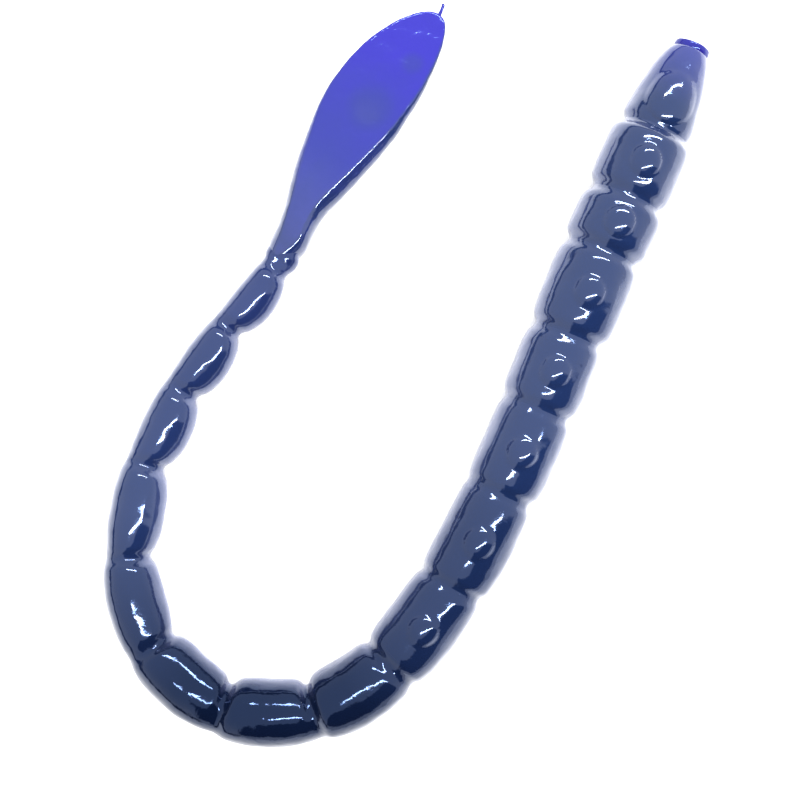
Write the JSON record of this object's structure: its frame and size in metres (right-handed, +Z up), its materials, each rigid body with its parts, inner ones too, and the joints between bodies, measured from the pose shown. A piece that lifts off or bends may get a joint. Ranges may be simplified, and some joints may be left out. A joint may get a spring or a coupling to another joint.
{
  "type": "soft plastic fishing worm",
  "caption": "Long segmented soft plastic worm with a blunt nose, ringed body, round top buttons and a flat leaf-shaped paddle tail, lying in a U.",
  "frame": {"origin": "on the ground under the middle of the bounding box, with the worm lying on its belly in a U", "axes": "+Z up from the ground, +Y from the bend of the U towards the nose and the paddle's tip, +X towards the arm that ends in the nose"},
  "size_m": [0.0739, 0.0898, 0.0105],
  "materials": {
    "body_plastic": "glossy translucent soft PVC, dark blue with a violet tint in thin places",
    "paddle_plastic": "the same soft PVC where it is thin, vivid blue violet"
  },
  "bodies": {
    "nose": {"nose_gate": "body_plastic", "nose": "body_plastic"},
    "web_01": {"web_01": "body_plastic"},
    "segment_02": {"segment_02": "body_plastic"},
    "web_02": {"web_02": "body_plastic"},
    "segment_03": {"segment_03": "body_plastic"},
    "web_03": {"web_03": "body_plastic"},
    "segment_04": {"segment_04": "body_plastic"},
    "web_04": {"web_04": "body_plastic"},
    "segment_05": {"segment_05": "body_plastic"},
    "web_05": {"web_05": "body_plastic"},
    "segment_06": {"segment_06": "body_plastic"},
    "web_06": {"web_06": "body_plastic"},
    "segment_07": {"segment_07": "body_plastic"},
    "web_07": {"web_07": "body_plastic"},
    "segment_08": {"segment_08": "body_plastic"},
    "web_08": {"web_08": "body_plastic"},
    "segment_09": {"segment_09": "body_plastic"},
    "web_09": {"web_09": "body_plastic"},
    "segment_10": {"segment_10": "body_plastic"},
    "web_10": {"web_10": "body_plastic"},
    "segment_11": {"segment_11": "body_plastic"},
    "web_11": {"web_11": "body_plastic"},
    "segment_12": {"segment_12": "body_plastic"},
    "web_12": {"web_12": "body_plastic"},
    "segment_13": {"segment_13": "body_plastic"},
    "web_13": {"web_13": "body_plastic"},
    "segment_14": {"segment_14": "body_plastic"},
    "web_14": {"web_14": "body_plastic"},
    "segment_15": {"segment_15": "body_plastic"},
    "web_15": {"web_15": "body_plastic"},
    "segment_16": {"segment_16": "body_plastic"},
    "web_16": {"web_16": "body_plastic"},
    "tail_knuckle": {"tail_knuckle": "body_plastic"},
    "web_17": {"web_17": "body_plastic"},
    "tail_paddle": {"tail_paddle": "paddle_plastic", "tip_vent": "paddle_plastic"}
  },
  "joints": [
    {"name": "bend_17", "type": "hinge", "parent": "tail_knuckle", "child": "web_17", "pos_m": [-0.0138, 0.01621, 0.0019], "axis": [0, 0, 1], "range_deg": [-15, 15], "stiffness_Nm_per_rad": 0.0003},
    {"name": "lift_17", "type": "hinge", "parent": "web_17", "child": "tail_paddle", "pos_m": [-0.0138, 0.01621, 0.0019], "axis": [0.8387, -0.5446, 0], "range_deg": [-20, 20], "stiffness_Nm_per_rad": 0.0003},
    {"name": "bend_01", "type": "hinge", "parent": "nose", "child": "web_01", "pos_m": [0.03014, 0.02972, 0.00462], "axis": [0, 0, 1], "range_deg": [-12, 12], "stiffness_Nm_per_rad": 0.0043},
    {"name": "lift_01", "type": "hinge", "parent": "web_01", "child": "segment_02", "pos_m": [0.03014, 0.02972, 0.00462], "axis": [-0.9135, 0.4067, 0], "range_deg": [-9, 9], "stiffness_Nm_per_rad": 0.0043},
    {"name": "bend_02", "type": "hinge", "parent": "segment_02", "child": "web_02", "pos_m": [0.02652, 0.02159, 0.005], "axis": [0, 0, 1], "range_deg": [-12, 12], "stiffness_Nm_per_rad": 0.0054},
    {"name": "lift_02", "type": "hinge", "parent": "web_02", "child": "segment_03", "pos_m": [0.02652, 0.02159, 0.005], "axis": [0.9135, -0.4067, 0], "range_deg": [-9, 9], "stiffness_Nm_per_rad": 0.0054},
    {"name": "bend_03", "type": "hinge", "parent": "segment_03", "child": "web_03", "pos_m": [0.02367, 0.01519, 0.00498], "axis": [0, 0, -1], "range_deg": [-12, 12], "stiffness_Nm_per_rad": 0.0052},
    {"name": "lift_03", "type": "hinge", "parent": "web_03", "child": "segment_04", "pos_m": [0.02367, 0.01519, 0.00498], "axis": [0.9135, -0.4067, 0], "range_deg": [-9, 9], "stiffness_Nm_per_rad": 0.0052},
    {"name": "bend_04", "type": "hinge", "parent": "segment_04", "child": "web_04", "pos_m": [0.01949, 0.00534, 0.00485], "axis": [0, 0, -1], "range_deg": [-12, 12], "stiffness_Nm_per_rad": 0.005},
    {"name": "lift_04", "type": "hinge", "parent": "web_04", "child": "segment_05", "pos_m": [0.01949, 0.00534, 0.00485], "axis": [-0.9272, 0.3746, 0], "range_deg": [-9, 9], "stiffness_Nm_per_rad": 0.005},
    {"name": "bend_05", "type": "hinge", "parent": "segment_05", "child": "web_05", "pos_m": [0.01586, -0.00344, 0.0047], "axis": [0, 0, -1], "range_deg": [-12, 12], "stiffness_Nm_per_rad": 0.0047},
    {"name": "lift_05", "type": "hinge", "parent": "web_05", "child": "segment_06", "pos_m": [0.01586, -0.00344, 0.0047], "axis": [0.9205, -0.3907, 0], "range_deg": [-9, 9], "stiffness_Nm_per_rad": 0.0047},
    {"name": "bend_06", "type": "hinge", "parent": "segment_06", "child": "web_06", "pos_m": [0.01138, -0.01348, 0.0046], "axis": [0, 0, -1], "range_deg": [-12, 12], "stiffness_Nm_per_rad": 0.0043},
    {"name": "lift_06", "type": "hinge", "parent": "web_06", "child": "segment_07", "pos_m": [0.01138, -0.01348, 0.0046], "axis": [-0.9063, 0.4226, 0], "range_deg": [-9, 9], "stiffness_Nm_per_rad": 0.0043},
    {"name": "bend_07", "type": "hinge", "parent": "segment_07", "child": "web_07", "pos_m": [0.00566, -0.02448, 0.0045], "axis": [0, 0, 1], "range_deg": [-12, 12], "stiffness_Nm_per_rad": 0.0039},
    {"name": "lift_07", "type": "hinge", "parent": "web_07", "child": "segment_08", "pos_m": [0.00566, -0.02448, 0.0045], "axis": [-0.866, 0.5, 0], "range_deg": [-9, 9], "stiffness_Nm_per_rad": 0.0039},
    {"name": "bend_08", "type": "hinge", "parent": "segment_08", "child": "web_08", "pos_m": [-0.00155, -0.03404, 0.00438], "axis": [0, 0, 1], "range_deg": [-12, 12], "stiffness_Nm_per_rad": 0.0032},
    {"name": "lift_08", "type": "hinge", "parent": "web_08", "child": "segment_09", "pos_m": [-0.00155, -0.03404, 0.00438], "axis": [0.7193, -0.6947, 0], "range_deg": [-9, 9], "stiffness_Nm_per_rad": 0.0032},
    {"name": "bend_09", "type": "hinge", "parent": "segment_09", "child": "web_09", "pos_m": [-0.0107, -0.03976, 0.00417], "axis": [0, 0, 1], "range_deg": [-12, 12], "stiffness_Nm_per_rad": 0.0025},
    {"name": "lift_09", "type": "hinge", "parent": "web_09", "child": "segment_10", "pos_m": [-0.0107, -0.03976, 0.00417], "axis": [-0.309, 0.9511, 0], "range_deg": [-9, 9], "stiffness_Nm_per_rad": 0.0025},
    {"name": "bend_10", "type": "hinge", "parent": "segment_10", "child": "web_10", "pos_m": [-0.02188, -0.03946, 0.00392], "axis": [0, 0, 1], "range_deg": [-12, 12], "stiffness_Nm_per_rad": 0.0021},
    {"name": "lift_10", "type": "hinge", "parent": "web_10", "child": "segment_11", "pos_m": [-0.02188, -0.03946, 0.00392], "axis": [-0.3584, -0.9336, 0], "range_deg": [-9, 9], "stiffness_Nm_per_rad": 0.0021},
    {"name": "bend_11", "type": "hinge", "parent": "segment_11", "child": "web_11", "pos_m": [-0.03045, -0.03214, 0.00365], "axis": [0, 0, -1], "range_deg": [-12, 12], "stiffness_Nm_per_rad": 0.0019},
    {"name": "lift_11", "type": "hinge", "parent": "web_11", "child": "segment_12", "pos_m": [-0.03045, -0.03214, 0.00365], "axis": [-0.866, -0.5, 0], "range_deg": [-9, 9], "stiffness_Nm_per_rad": 0.0019},
    {"name": "bend_12", "type": "hinge", "parent": "segment_12", "child": "web_12", "pos_m": [-0.03327, -0.02124, 0.00337], "axis": [0, 0, -1], "range_deg": [-16, 16], "stiffness_Nm_per_rad": 0.0014},
    {"name": "lift_12", "type": "hinge", "parent": "web_12", "child": "segment_13", "pos_m": [-0.03327, -0.02124, 0.00337], "axis": [0.9998, -0.0175, 0], "range_deg": [-12, 12], "stiffness_Nm_per_rad": 0.0014},
    {"name": "bend_13", "type": "hinge", "parent": "segment_13", "child": "web_13", "pos_m": [-0.03119, -0.00998, 0.00313], "axis": [0, 0, -1], "range_deg": [-16, 16], "stiffness_Nm_per_rad": 0.00092},
    {"name": "lift_13", "type": "hinge", "parent": "web_13", "child": "segment_14", "pos_m": [-0.03119, -0.00998, 0.00313], "axis": [-0.9397, 0.342, 0], "range_deg": [-12, 12], "stiffness_Nm_per_rad": 0.00092},
    {"name": "bend_14", "type": "hinge", "parent": "segment_14", "child": "web_14", "pos_m": [-0.02685, -0.0011, 0.0029], "axis": [0, 0, -1], "range_deg": [-16, 16], "stiffness_Nm_per_rad": 0.00077},
    {"name": "lift_14", "type": "hinge", "parent": "web_14", "child": "segment_15", "pos_m": [-0.02685, -0.0011, 0.0029], "axis": [0.848, -0.5299, 0], "range_deg": [-12, 12], "stiffness_Nm_per_rad": 0.00077},
    {"name": "bend_15", "type": "hinge", "parent": "segment_15", "child": "web_15", "pos_m": [-0.02134, 0.00663, 0.00265], "axis": [0, 0, 1], "range_deg": [-16, 16], "stiffness_Nm_per_rad": 0.0005},
    {"name": "lift_15", "type": "hinge", "parent": "web_15", "child": "segment_16", "pos_m": [-0.02134, 0.00663, 0.00265], "axis": [-0.7771, 0.6293, 0], "range_deg": [-12, 12], "stiffness_Nm_per_rad": 0.0005},
    {"name": "bend_16", "type": "hinge", "parent": "segment_16", "child": "web_16", "pos_m": [-0.01568, 0.01362, 0.0023], "axis": [0, 0, 1], "range_deg": [-16, 16], "stiffness_Nm_per_rad": 0.00043},
    {"name": "lift_16", "type": "hinge", "parent": "web_16", "child": "tail_knuckle", "pos_m": [-0.01568, 0.01362, 0.0023], "axis": [0.7771, -0.6293, 0], "range_deg": [-12, 12], "stiffness_Nm_per_rad": 0.00043}
  ]
}
